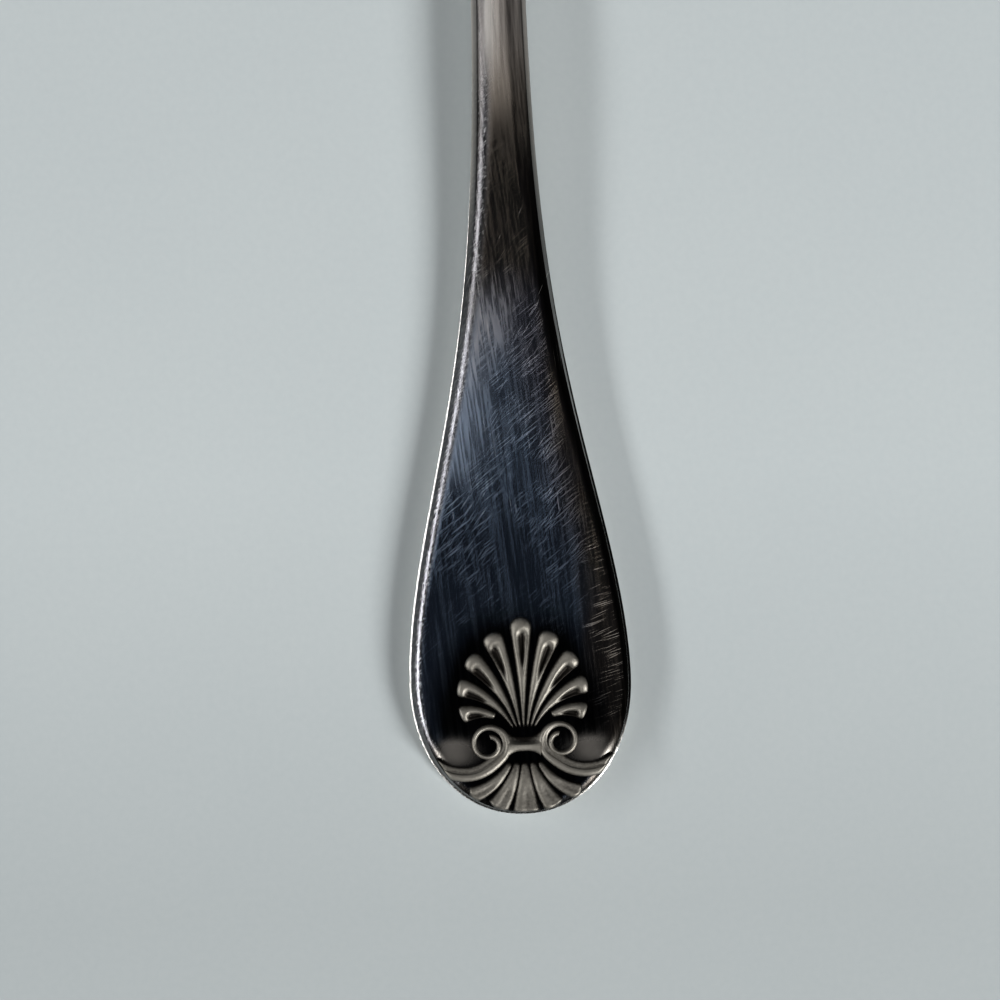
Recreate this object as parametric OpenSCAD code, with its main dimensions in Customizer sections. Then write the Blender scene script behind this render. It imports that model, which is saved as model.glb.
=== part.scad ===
// Master butter knife with a flat spatulate handle, a raised anthemion on the handle's end
// and a broad blade joined to the stem by a riveted tang.
// The knife lies face up on a table. +Y runs from the handle's end to the blade's tip, +X is
// the spine's side and +Z is up. The origin is on the table, under the handle's widest part.

/* [Handle end] */
// Widest part of the handle's end
end_width = 19.3; // [17.6:0.1:24]
// Length of the rounded end, from its widest part to its tip
end_round = 11.7; // [10:0.1:14]
// Fullness of the rounded end, where 2 gives an ellipse
end_fullness = 2.1; // [2:0.05:2.4]
// Distance over which the end narrows into the stem
flare_length = 26.9; // [18:0.1:32]
// Thickness of the handle's end
end_thickness = 2.3; // [1.6:0.1:3]
// Width of the slanting sides, seen from above
side_slant = 0.25; // [0.1:0.05:0.35]
// Width of the rounded shoulder round the upper face, seen from above
shoulder_width = 0.65; // [0.4:0.05:0.9]
// Height of the rounded shoulder as a share of its width
shoulder_fall = 0.42; // [0.3:0.02:0.6]
// Radius of the lower edge
lower_round = 0.4; // [0.2:0.05:0.6]
// Length of the flat underside past the palmette, on which the handle lies
land_length = 8; // [4:0.5:14]

/* [Stem] */
// Narrowest width of the stem
stem_width = 4.5; // [3.8:0.1:6]
// Thickness of the stem
stem_thickness = 2.6; // [2.4:0.1:4]
// Width to which the rounded shoulder grows on the stem
stem_shoulder = 1.4; // [0.9:0.05:1.4]
// Distance from the handle's widest part to the heel of the blade
stem_reach = 92; // [75:1:110]
// Height of the arch under the stem
arch_height = 1.4; // [0.5:0.1:3.8]
// Width of the neck, where the stem meets the blade
neck_width = 5.6; // [5:0.1:8]
// Length over which the stem widens into the neck
neck_length = 20; // [10:1:25]

/* [Blade] */
// Length of the blade from its heel to its tip
blade_length = 73; // [60:0.5:95]
// Distance of the cutting edge from the knife's axis at the heel
edge_reach = 14; // [10:0.2:18]
// Distance of the spine from the knife's axis
spine_reach = 5.6; // [4.5:0.1:8]
// Distance of the upswept tip from the knife's axis
tip_reach = 6; // [4:0.1:9]
// Hollow of the spine before the tip
spine_hollow = 1.2; // [0:0.1:2]
// Length over which the heel widens to the whole blade
heel_length = 12; // [8:0.5:16]
// Thickness of the blade at its heel
blade_thickness = 1.8; // [1.5:0.1:2.2]
// Thickness of the blade at its tip
tip_thickness = 1.1; // [0.9:0.1:1.4]
// Thickness of the blunt cutting edge
edge_thickness = 0.5; // [0.3:0.05:0.8]
// Width of the bevel along the cutting edge
bevel_width = 6.5; // [3:0.1:7]
// Chamfer along the spine
spine_chamfer = 0.3; // [0.1:0.05:0.4]

/* [Tang joint] */
// Length of the tang let into the underside of the stem
tang_length = 12; // [8:0.5:20]
// Width of the tang
tang_width = 3; // [2.2:0.1:3.4]
// Thickness of the tang
tang_thickness = 1.1; // [0.8:0.05:1.4]
// Length of the stem's tongue over the face of the blade
tongue_length = 10; // [7:0.5:14]
// Diameter of the two flush rivets
rivet_diameter = 1.6; // [1:0.1:2]
// Room left at the sides and end of the tang
tang_clearance = 0.05; // [0.02:0.01:0.15]
// Room left round each rivet
rivet_clearance = 0.02; // [0.01:0.01:0.05]

/* [Scrolls] */
// Height of the middle of the volutes above the handle's tip
volute_height = 6.4; // [6.1:0.1:6.9]
// Distance between the middles of the two volutes
volute_spacing = 6.22; // [5.8:0.02:7]
// Radius of the volute's eye
eye_radius = 0.7; // [0.5:0.05:0.8]
// Distance from one turn of the volute to the next
volute_pitch = 0.98; // [0.8:0.02:1.1]
// Width of the ridge that winds into the volute
scroll_width = 0.44; // [0.3:0.02:0.6]
// Greatest width of the arm that sweeps out to the rim
arm_width = 1.05; // [0.6:0.05:1.1]
// Direction in which the arm meets the rim, from the handle's tip round to its side
arm_angle = 55; // [54:1:62]
// Height of the scrolls
scroll_height = 0.55; // [0.3:0.05:0.9]
// Thickness of the bar between the volutes
bar_thickness = 0.85; // [0.5:0.05:1]
// Thickness to which the bar flares at its ends
bar_flare = 1.3; // [1:0.05:1.5]
// Room left between the bar and the volutes
bar_clearance = 0.06; // [0.04:0.01:0.1]

/* [Palmette] */
// Depth of the meeting point of the petals below the top of the volutes
palmette_sink = 0.7; // [0.4:0.05:0.9]
// Length of the middle petal
petal_length = 9.65; // [9:0.05:11]
// Amount by which the first pair of petals is shorter than the middle one
petal_shortening = 0.9; // [0.7:0.02:1.1]
// Further shortening, which grows with the square of a pair's number
petal_crowding = 0.1; // [0.06:0.01:0.14]
// Number of petals on each side of the middle one
petal_pairs = 4; // [2:1:4]
// Angle from one petal to the next
petal_angle = 15.9; // [14.5:0.1:16.5]
// Further angle, which grows with the cube of a pair's number
petal_spread = 0.16; // [0.1:0.01:0.22]
// Width of the middle petal near its tip
petal_width = 1.83; // [1.2:0.01:2]
// Width of a petal at its foot, which is also the spacing of the feet
petal_foot = 0.28; // [0.2:0.01:0.36]
// Height of the petals
petal_height = 0.55; // [0.3:0.05:0.9]
// Share of the lowest petals that the volutes leave out of sight
lowest_petal_start = 0.34; // [0.3:0.01:0.5]

/* [Lower fan] */
// Depth of the meeting point of the lobes below the middle of the volutes
fan_sink = 1.8; // [1.7:0.05:1.9]
// Angle from one lobe to the next
lobe_angle = 26; // [25:0.5:27]
// Number of lobes on each side of the middle one
lobe_pairs = 2; // [1:1:2]
// Width of the lobes near the rim
lobe_width = 1.5; // [0.8:0.05:1.55]
// Width of a lobe at its foot, which is also the spacing of the feet
lobe_foot = 0.42; // [0.36:0.01:0.46]
// Height of the lobes
lobe_height = 0.5; // [0.3:0.05:0.8]
// Distance of the relief from the rounded shoulder
rim_margin = 0.1; // [0.05:0.05:0.4]

/* [Hidden] */

// Numbers of steps along and across the curved shapes
end_steps = 16;
flare_steps = 44;
tongue_steps = 8;
edge_steps = 3;
shoulder_steps = 4;
blade_steps = 44;
leaf_steps = 14;
spiral_step = 15;
arm_steps = 14;
bar_steps = 8;
dome_steps = 6;
// Half width of a ridge where it runs out to a point
point_half = 0.03;
// Step for slopes, and reach of a cut past the face that it opens
slope_step = 0.01;
cut_past = 1;

// Power of the curve by which the end narrows, where 2 gives a bell curve
flare_power = 1.8;
// Lean of the arch towards the blade, where 1 puts its top halfway
arch_lean = 1.4;
// Shares of the handle's length between which the shoulder grows
dome_start = 0.12;
dome_end = 0.47;

// Curves of the blade: fullness of the belly, and place of the spine's hollow
belly_power = 3.4;
hollow_power = 2;
// Smallest bevel at the heel, and the step that keeps the bevel's points apart there
heel_bevel = 0.05;
lip_step = 0.01;

// Curves of the petals and lobes: where the narrow foot ends, where the leaf is widest, how the
// width grows between, the crowding of the steps towards the tip and the height at the foot
foot_share = 0.1;
petal_swell = 0.88;
lobe_swell = 0.86;
swell_power = 1.2;
tip_crowding = 1.6;
foot_height = 0.55;
tip_height = 0.2;
// Share of its spacing that the foot of a petal or a lobe fills
petal_fill = 0.85;
lobe_fill = 0.8;

// Turn of the volute, in degrees, at its eye, beside the bar and where the arm leaves it
spiral_start = 90;
spiral_top = 450;
spiral_bar = 540;
spiral_end = 590;
// Reach of the arm's bend from each of its ends, and the slope at which it meets the rim
arm_leave = 2.6;
arm_arrive = 3.1;
arm_slope = 50;

end_half = end_width / 2;
stem_half = stem_width / 2;
neck_half = neck_width / 2;
volute_centre = [volute_spacing / 2, volute_height];
function volute_radius(turn) = eye_radius + volute_pitch * (turn - spiral_start) / 360;
palmette_base = volute_height + volute_radius(spiral_top) + scroll_width / 2 - palmette_sink;
fan_base = volute_height - fan_sink;
land_end = palmette_base + petal_length - end_round + land_length;
lap_start = stem_reach - tang_length;
tongue_start = stem_reach + tongue_length - neck_half;
rivet_places = [stem_reach - tang_length / 2, stem_reach + tongue_length / 2];
// Half axes of the flat upper face inside the shoulder, on which the relief stands
face_half = end_half - side_slant - shoulder_width - rim_margin;
face_round = end_round - side_slant - shoulder_width - rim_margin;

function clamp(t) = max(0, min(1, t));
function ease(t) = let (c = clamp(t)) c * c * (3 - 2 * c);
function mix(a, b, t) = a + (b - a) * t;
function unit(v) = v / norm(v);

// Solid through sections with the same number of points, each turning from +X up to +Z
module loft(sections) {
    count = len(sections[0]);
    last = len(sections) - 1;
    points = [for (s = sections) each s];
    walls = [for (i = [0 : last - 1]) for (k = [0 : count - 1])
        let (a = i * count, b = a + count, n = (k + 1) % count)
        each [[a + k, a + n, b + n], [a + k, b + n, b + k]]];
    first_cap = [for (k = [1 : count - 2]) [0, k + 1, k]];
    last_cap = [for (k = [1 : count - 2]) last * count * [1, 1, 1] + [0, k, k + 1]];
    polyhedron(points, concat(walls, first_cap, last_cap));
}

// Handle: half width, rise above the table and thickness along the axis
function handle_half(y) = stem_half + (end_half - stem_half) * exp(-pow(y / flare_length, flare_power))
    + (neck_half - stem_half) * ease((y - stem_reach + neck_length) / neck_length);
function handle_slope(y) = (handle_half(y + slope_step) - handle_half(y - slope_step)) / (2 * slope_step);
function along_arch(y) = clamp((y - land_end) / (lap_start - land_end));
function rise(y) = arch_height * pow(sin(180 * pow(along_arch(y), arch_lean)), 2);
function thickness(y) = mix(end_thickness, stem_thickness, ease(2 * along_arch(y)));
function shoulder(y) = mix(shoulder_width, stem_shoulder,
    ease((y / tongue_start - dome_start) / (dome_end - dome_start)));

// Right half of the outline from the handle's tip to the tongue's tip: points and outward normals
full = 2 / end_fullness;
handle_side = concat(
    [for (i = [0 : end_steps]) let (a = 90 * i / end_steps, s = clamp(sin(a)), c = clamp(cos(a)))
        [[end_half * pow(s, full), -end_round * pow(c, full)],
            unit([pow(s, 2 - full) / end_half, -pow(c, 2 - full) / end_round])]],
    [for (i = [1 : flare_steps]) let (y = tongue_start * i / flare_steps)
        [[handle_half(y), y], unit([1, -handle_slope(y)])]],
    [for (i = [1 : tongue_steps]) let (a = 90 * i / tongue_steps)
        [[handle_half(tongue_start) * cos(a), tongue_start + neck_half * sin(a)], [cos(a), sin(a)]]]);
side_count = len(handle_side) - 1;
loop_count = 2 * side_count;
handle_loop = concat(
    handle_side,
    [for (i = [side_count - 1 : -1 : 1]) let (s = handle_side[i])
        [[-s[0].x, s[0].y], [-s[1].x, s[1].y]]]);

// Rings round the blank, from the underside up. The lower ones have an inset from the outline and a
// height, and the upper ones a share of the way across the shoulder, from the side to the flat face
lower_rings = [for (k = [0 : edge_steps]) let (a = 90 * k / edge_steps)
    lower_round * [1 - sin(a), 1 - cos(a)]];
upper_rings = [for (k = [0 : shoulder_steps]) k / shoulder_steps];
function lower_point(side, ring) = let (p = side[0] - ring[0] * side[1])
    [p.x, p.y, rise(p.y) + ring[1]];
function upper_point(side, share) =
    let (width = shoulder(side[0].y), p = side[0] - (side_slant + share * width) * side[1])
    [p.x, p.y, rise(p.y) + thickness(p.y) - shoulder_fall * width * pow(1 - share, 2)];

module handle_blank() {
    last = len(lower_rings) + len(upper_rings) - 1;
    points = concat(
        [for (ring = lower_rings) for (side = handle_loop) lower_point(side, ring)],
        [for (share = upper_rings) for (side = handle_loop) upper_point(side, share)]);
    walls = [for (k = [0 : last - 1]) for (i = [0 : loop_count - 1])
        let (j = (i + 1) % loop_count, a = k * loop_count, b = a + loop_count)
        each [[a + i, b + i, b + j], [a + i, b + j, a + j]]];
    // Strips across the faces, from each point on the right to its mirror image on the left
    strips = [for (i = [0 : side_count - 1])
        let (left = (loop_count - i) % loop_count, next = loop_count - i - 1)
        each concat(
            i > 0 ? [[i, left, next]] : [],
            i < side_count - 1 ? [[i, next, i + 1]] : [])];
    top = [for (f = strips) f + last * loop_count * [1, 1, 1]];
    bottom = [for (f = strips) [f[0], f[2], f[1]]];
    polyhedron(points, concat(walls, top, bottom));
}

module rivet_rods(diameter, low, high) {
    for (y = rivet_places)
        translate([0, y, low]) cylinder(d = diameter, h = high - low, $fn = 32);
}

module rivet_bores() {
    rivet_rods(rivet_diameter + 2 * rivet_clearance, -cut_past, stem_thickness + cut_past);
}

module handle() {
    color([0.62, 0.61, 0.58]) difference() {
        handle_blank();
        // Seat of the tongue on the face of the blade
        translate([-end_width, stem_reach, -cut_past])
            cube([2 * end_width, tongue_length + cut_past, blade_thickness + cut_past]);
        // Groove for the tang
        translate([-tang_width / 2 - tang_clearance, lap_start - tang_clearance, -cut_past])
            cube([tang_width + 2 * tang_clearance, tang_length + cut_past, tang_thickness + cut_past]);
        rivet_bores();
    }
}

// Blade: the edge, the spine and the thickness at a distance y from the heel
function belly_x(y) = (edge_reach + tip_reach) * sqrt(1 - pow(clamp(y / blade_length), belly_power)) - tip_reach;
function edge_x(y) = -mix(neck_half, belly_x(y), ease(y / heel_length));
function spine_x(y) = mix(neck_half, mix(spine_reach, tip_reach, y / blade_length), ease(y / heel_length))
    - spine_hollow * pow(sin(180 * pow(clamp(y / blade_length), hollow_power)), 2);
function blade_depth(y) = mix(blade_thickness, tip_thickness,
    clamp((y - tongue_length) / (blade_length - tongue_length)));

function blade_section(y) =
    let (
        edge = edge_x(y), spine = spine_x(y), depth = blade_depth(y), width = spine - edge,
        open = ease(y / heel_length), chamfer = min(spine_chamfer, width / 4),
        bevel = min(bevel_width, edge_reach - neck_half, width / 2) * max(heel_bevel, open),
        lip = mix(depth, edge_thickness, open) / 2 - lip_step)
    [for (p = [
        [spine - chamfer, 0], [spine, chamfer], [spine, depth - chamfer], [spine - chamfer, depth],
        [edge + bevel, depth], [edge, depth / 2 + lip], [edge, depth / 2 - lip], [edge + bevel, 0]])
        [p.x, stem_reach + y, p.y]];

module blade() {
    color([0.66, 0.65, 0.62]) difference() {
        union() {
            // Sections lie closer together towards the round of the tip
            loft([for (i = [0 : blade_steps - 1])
                blade_section(blade_length * (1 - pow(1 - i / blade_steps, 2)))]);
            translate([-tang_width / 2, lap_start, 0])
                cube([tang_width, tang_length + tongue_length, tang_thickness]);
        }
        rivet_bores();
    }
}

module rivets() {
    color([0.72, 0.70, 0.66]) rivet_rods(rivet_diameter, 0, stem_thickness);
}

// Relief: rounded ridges on the upper face, measured across and up from the handle's tip
module on_face() {
    translate([0, -end_round, end_thickness]) children();
}

function dome(half, height) =
    [for (k = [0 : dome_steps]) let (a = 180 * k / dome_steps) [half * cos(a), height * sin(a)]];

// Ridge along a path of flat points, with a half width and a height at each
module ridge(path, halves, heights) {
    last = len(path) - 1;
    loft([for (i = [0 : last])
        let (d = unit(path[min(i + 1, last)] - path[max(i - 1, 0)]))
        [for (p = dome(halves[i], heights[i])) [path[i].x + d.y * p.x, path[i].y - d.x * p.x, p.y]]]);
}

// Point at a share t of an arc whose chord leans from the axis and that bends outwards by that angle
function arc_point(foot, chord, angle, t) =
    angle == 0 ? foot + chord * t * [0, 1] :
    let (r = chord / (2 * sin(angle / 2)), a = angle / 2, b = angle * (0.5 + t))
    foot + r * [cos(a) - cos(b), sin(b) - sin(a)];

// Half width along a petal or a lobe: a narrow foot, a swelling and a round tip
function leaf_half(t, foot, width, swell) =
    let (
        growth = ease((t - foot_share) / (swell - foot_share)) * pow(clamp(t / swell), swell_power),
        tip = sqrt(max(0, 1 - pow(max(0, t - swell) / (1 - swell), 2))))
    max(point_half, mix(foot, width, growth) / 2 * tip);

module leaf(foot, chord, angle, foot_width, width, height, swell, start) {
    steps = [for (i = [0 : leaf_steps]) mix(start, 1, 1 - pow(1 - i / leaf_steps, tip_crowding))];
    ridge(
        [for (t = steps) arc_point(foot, chord, angle, t)],
        [for (t = steps) leaf_half(t, foot_width, width, swell)],
        [for (t = steps) height * (t < 1 ? mix(foot_height, 1, ease(t / swell)) : tip_height)]);
}

module palmette() {
    color([0.74, 0.72, 0.68]) on_face()
        for (i = [-petal_pairs : petal_pairs]) {
            chord = petal_length - abs(i) * petal_shortening - i * i * petal_crowding;
            angle = i * (petal_angle + i * i * petal_spread);
            leaf([i * petal_foot, palmette_base], chord, angle, petal_foot * petal_fill,
                petal_width * sqrt(chord / petal_length), petal_height, petal_swell,
                abs(i) == petal_pairs ? lowest_petal_start : 0);
        }
}

// Length of a ray from a lobe's foot, at an angle from straight down, to the rim of the face
function rim_distance(foot_x, angle) =
    let (
        px = foot_x / face_half, py = (end_round - fan_base) / face_round,
        dx = sin(angle) / face_half, dy = cos(angle) / face_round,
        a = dx * dx + dy * dy, b = px * dx + py * dy, c = px * px + py * py - 1)
    (sqrt(b * b - a * c) - b) / a;

module base_fan() {
    color([0.72, 0.70, 0.66]) on_face() translate([0, fan_base]) mirror([0, 1, 0])
        for (i = [-lobe_pairs : lobe_pairs])
            leaf([i * lobe_foot, 0], rim_distance(i * lobe_foot, i * lobe_angle), i * lobe_angle,
                lobe_foot * lobe_fill, lobe_width, lobe_height, lobe_swell, 0);
}

// Right scroll: a spiral out of the volute's eye, then an arm that sweeps under it to the rim
function volute_point(turn) = volute_centre + volute_radius(turn) * [cos(turn), sin(turn)];
function bezier(a, b, c, d, t) = pow(1 - t, 3) * a + 3 * t * pow(1 - t, 2) * b
    + 3 * t * t * (1 - t) * c + pow(t, 3) * d;
arm_from = volute_point(spiral_end);
arm_to = [face_half * sin(arm_angle), end_round - face_round * cos(arm_angle)];
arm_bend = [arm_from + arm_leave * [-sin(spiral_end), cos(spiral_end)],
    arm_to - arm_arrive * [cos(arm_slope), sin(arm_slope)]];
spiral_count = ceil((spiral_end - spiral_start) / spiral_step);
scroll_path = concat(
    [for (i = [0 : spiral_count]) volute_point(mix(spiral_start, spiral_end, i / spiral_count))],
    [for (i = [1 : arm_steps]) bezier(arm_from, arm_bend[0], arm_bend[1], arm_to, i / arm_steps)]);
scroll_halves = concat(
    [for (i = [0 : spiral_count]) i == 0 ? point_half : scroll_width / 2],
    [for (i = [1 : arm_steps])
        i == arm_steps ? point_half : mix(scroll_width, arm_width, sin(180 * i / arm_steps)) / 2]);

module scroll_right() {
    color([0.72, 0.70, 0.66]) on_face()
        ridge(scroll_path, scroll_halves, [for (p = scroll_path) scroll_height]);
}

module scroll_left() {
    mirror([1, 0, 0]) scroll_right();
}

module tie_bar() {
    reach = volute_spacing / 2 - volute_radius(spiral_bar) - scroll_width / 2 - bar_clearance;
    steps = [for (i = [0 : bar_steps]) 2 * i / bar_steps - 1];
    color([0.72, 0.70, 0.66]) on_face()
        ridge(
            [for (t = steps) [reach * t, volute_height]],
            [for (t = steps) mix(bar_thickness, bar_flare, t * t) / 2],
            [for (t = steps) scroll_height]);
}

handle();
blade();
rivets();
palmette();
scroll_left();
scroll_right();
tie_bar();
base_fan();
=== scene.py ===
# %% [markdown]
# # A master butter knife in worn silver plate
# The real knife starts as a flat blank of nickel silver. Dies strike it so that an anthemion, a fan of
# petals over two scrolls, stands up on the rounded end of the handle. Then it is plated, polished and worn
# by years of use. The blade is a second piece, let into the underside of the stem and held by two flush
# rivets. Each piece below is a rule in Geometry Nodes, because each one follows a curve or repeats a shape.

# %% The packed knife
import math
from functools import partialmethod
from types import SimpleNamespace

import bpy
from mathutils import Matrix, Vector


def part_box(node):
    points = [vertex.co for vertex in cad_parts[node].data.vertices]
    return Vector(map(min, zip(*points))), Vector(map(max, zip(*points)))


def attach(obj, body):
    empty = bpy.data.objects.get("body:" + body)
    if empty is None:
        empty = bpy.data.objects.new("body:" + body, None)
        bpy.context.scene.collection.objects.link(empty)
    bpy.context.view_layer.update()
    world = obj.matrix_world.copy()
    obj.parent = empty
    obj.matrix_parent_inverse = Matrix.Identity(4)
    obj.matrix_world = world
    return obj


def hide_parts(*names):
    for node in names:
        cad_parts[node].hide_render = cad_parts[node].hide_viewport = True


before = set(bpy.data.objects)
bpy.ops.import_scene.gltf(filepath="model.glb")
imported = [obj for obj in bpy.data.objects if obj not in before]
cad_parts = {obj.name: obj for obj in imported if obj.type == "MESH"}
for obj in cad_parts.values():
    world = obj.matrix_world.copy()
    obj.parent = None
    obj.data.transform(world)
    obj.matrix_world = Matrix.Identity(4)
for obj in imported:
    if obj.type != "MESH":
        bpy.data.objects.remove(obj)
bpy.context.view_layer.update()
scene = bpy.context.scene
scene.view_settings.view_transform = "Standard"
MM = 0.001
print("nodes", sorted(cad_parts))

# %% [markdown]
# ## The camera
# The photograph looks almost straight down on the handle, and the blade lies outside it. The camera hangs
# over the middle of the picture, and turns a little, because the knife leans there.

# %% Camera over the handle
VIEW_CENTRE = Vector((-1.26, 15.7, 1.5)) * MM
VIEW_WIDTH = 87 * MM
VIEW_DISTANCE = 249 * MM
AXIS_LEAN = math.radians(1.87)

camera = bpy.data.objects.new("camera", bpy.data.cameras.new("camera"))
scene.collection.objects.link(camera)
scene.camera = camera
camera.location = VIEW_CENTRE + Vector((0, 0, VIEW_DISTANCE))
camera.rotation_euler = (0, 0, -AXIS_LEAN)
camera.data.lens = camera.data.sensor_width * VIEW_DISTANCE / VIEW_WIDTH
camera.data.clip_start = MM
print("lens", round(camera.data.lens, 1), "mm")

# %% [markdown]
# ## Wires
# A node tree is maths drawn as boxes. This class wraps one output of a node, and the operators + - * / ** <
# > on it add Math nodes, so the maths stays readable. Shader trees and Geometry Nodes trees share those
# nodes, so one class serves the shapes and the finishes. Every other node comes from Wire.node. The numbers
# below are the Mix node's sockets for colours.

# %% A socket that does arithmetic
MIX_LOW, MIX_HIGH, MIX_RESULT = 6, 7, 2


class Wire:
    """A node's output. Python's operators on it add Math nodes to its tree."""

    def __init__(self, socket):
        self.socket = socket
        self.tree = socket.id_data

    @classmethod
    def node(cls, tree, kind, settings=None, sockets=None, output=0):
        """Adds any node: its type, its settings, then the values or links of its sockets."""
        made = tree.nodes.new(kind)
        for name, value in (settings or {}).items():
            setattr(made, name, value)
        for name, value in (sockets or {}).items():
            if isinstance(value, Wire):
                tree.links.new(value.socket, made.inputs[name])
            else:
                made.inputs[name].default_value = value
        return cls(made.outputs[output])

    def math(self, operation, *others):
        values = dict(enumerate((self, *others)))
        return Wire.node(self.tree, "ShaderNodeMath", {"operation": operation}, values)

    def vector(self, operation, other):
        return Wire.node(self.tree, "ShaderNodeVectorMath", {"operation": operation}, {0: self, 1: other})

    def parts(self):
        split = Wire.node(self.tree, "ShaderNodeSeparateXYZ", {}, {0: self})
        return [Wire(output) for output in split.socket.node.outputs]

    def tint(self, low, high):
        """A colour from low to high, with this wire as the share."""
        sockets = {0: self, MIX_LOW: low, MIX_HIGH: high}
        return Wire.node(self.tree, "ShaderNodeMix", {"data_type": "RGBA"}, sockets, output=MIX_RESULT)

    def __rsub__(self, other):
        return Wire.node(self.tree, "ShaderNodeMath", {"operation": "SUBTRACT"}, {0: other, 1: self})

    def __rtruediv__(self, other):
        return Wire.node(self.tree, "ShaderNodeMath", {"operation": "DIVIDE"}, {0: other, 1: self})

    def __neg__(self):
        return self.math("MULTIPLY", -1)

    __add__ = __radd__ = partialmethod(math, "ADD")
    __sub__ = partialmethod(math, "SUBTRACT")
    __mul__ = __rmul__ = partialmethod(math, "MULTIPLY")
    __truediv__ = partialmethod(math, "DIVIDE")
    __pow__ = partialmethod(math, "POWER")
    __gt__ = partialmethod(math, "GREATER_THAN")
    __lt__ = partialmethod(math, "LESS_THAN")
    __abs__ = partialmethod(math, "ABSOLUTE")


print("a wire has", sum(name.startswith("__") for name in vars(Wire)), "special methods")

# %% [markdown]
# ### Functions on wires
# The shapes and the finishes share a few functions. Two of them say how far a value has come from a start
# to an end, as a share from 0 to 1: share_of goes evenly, rising starts and stops softly.

# %% Functions on wires


def sin(angle):
    return angle.math("SINE")


def cos(angle):
    return angle.math("COSINE")


def root(value):
    return value.math("MAXIMUM", 0).math("SQRT")


def exp(value):
    return value.math("EXPONENT")


def clamp(value):
    return value.math("MAXIMUM", 0).math("MINIMUM", 1)


def ease(value):
    share = clamp(value)
    return share * share * (3 - 2 * share)


def share_of(value, start, end):
    """How far a value has come from a start to an end, from 0 to 1."""
    return clamp((value - start) / (end - start))


def rising(value, start, end):
    """The same share with a soft start and a soft stop."""
    return ease((value - start) / (end - start))


def between(low, high, share):
    return low + (high - low) * share


def bump_at(value, middle, spread):
    """A smooth hump, 1 at the middle and fading over the spread."""
    away = (value - middle) / spread
    return exp(-(away * away))


def point(x, y, z):
    return Wire.node(x.tree, "ShaderNodeCombineXYZ", {}, {0: x, 1: y, 2: z})


print("functions ready")

# %% [markdown]
# ## Sheets of points
# A rule needs points to act on. Each piece starts as one square sheet or several, and each point knows its
# share across and along its sheet and the number of its copy. The rule moves it to its place. A tree's
# sizes are named inputs, set by their identifiers before the first evaluation.

# %% Helpers for trees that make shapes
QUARTER = math.pi / 2
FULL = 2 * math.pi
WELD = 0.001 * MM


def start_tree(name, sizes):
    """A Geometry Nodes tree with a named number for each size, and the wires of those numbers."""
    tree = bpy.data.node_groups.new(name, "GeometryNodeTree")
    tree.interface.new_socket("Geometry", in_out="OUTPUT", socket_type="NodeSocketGeometry")
    for size in sizes:
        tree.interface.new_socket(size, in_out="INPUT", socket_type="NodeSocketFloat")
    inputs = tree.nodes.new("NodeGroupInput")
    return tree, SimpleNamespace(**{size: Wire(inputs.outputs[size]) for size in sizes})


def store(geometry, name, value):
    settings = {"data_type": "FLOAT", "domain": "POINT"}
    sockets = {"Geometry": geometry, "Name": name, "Value": value}
    return Wire.node(geometry.tree, "GeometryNodeStoreNamedAttribute", settings, sockets)


def read(tree, name):
    return Wire.node(tree, "GeometryNodeInputNamedAttribute", {"data_type": "FLOAT"}, {"Name": name})


def sheets(tree, columns, rows, copies=1):
    """Copies of a square sheet, with wires for the share across, the share along and the copy's number."""
    counts = {"Size X": 1, "Size Y": 1, "Vertices X": columns, "Vertices Y": rows}
    sheet = Wire.node(tree, "GeometryNodeMeshGrid", {}, counts)
    x, y, _ = Wire.node(tree, "GeometryNodeInputPosition").parts()
    sheet = store(store(sheet, "across", x + 0.5), "along", y + 0.5)
    line = Wire.node(tree, "GeometryNodeMeshLine", {}, {"Count": copies, "Offset": (0, 0, 0)})
    line = store(line, "copy", Wire.node(tree, "GeometryNodeInputIndex"))
    stack = Wire.node(tree, "GeometryNodeInstanceOnPoints", {}, {"Points": line, "Instance": sheet})
    stack = Wire.node(tree, "GeometryNodeRealizeInstances", {}, {"Geometry": stack})
    return stack, read(tree, "across"), read(tree, "along"), read(tree, "copy")


def moved(geometry, place):
    """The sheets with every point at its place, and their seams and poles welded."""
    sockets = {"Geometry": geometry, "Position": place}
    shaped = Wire.node(geometry.tree, "GeometryNodeSetPosition", {}, sockets)
    sockets = {"Geometry": shaped, "Distance": WELD}
    return Wire.node(geometry.tree, "GeometryNodeMergeByDistance", {}, sockets)


print("points closer than", WELD / MM, "mm are welded")

# %% [markdown]
# ### From a tree to a piece
# A tree ends by making its copies real and setting the finish. Its modifier runs once, the result is kept
# as a plain mesh, and the modifier goes. The piece then rides on the frame and stands for its node of the
# solid knife. The pyramids from the origin to all triangles add up to its volume.

# %% Trees become plain meshes


def finish_tree(geometry, material):
    """Ends a tree and gives it back: the sheets' own numbers go, and the finish is set."""
    tree = geometry.tree
    for name in ("across", "along", "copy"):
        sockets = {"Geometry": geometry, "Name": name}
        geometry = Wire.node(tree, "GeometryNodeRemoveAttribute", {}, sockets)
    geometry = Wire.node(tree, "GeometryNodeRealizeInstances", {}, {"Geometry": geometry})
    sockets = {"Geometry": geometry, "Material": material}
    geometry = Wire.node(tree, "GeometryNodeSetMaterial", {}, sockets)
    tree.links.new(geometry.socket, tree.nodes.new("NodeGroupOutput").inputs[0])
    return tree


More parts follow.
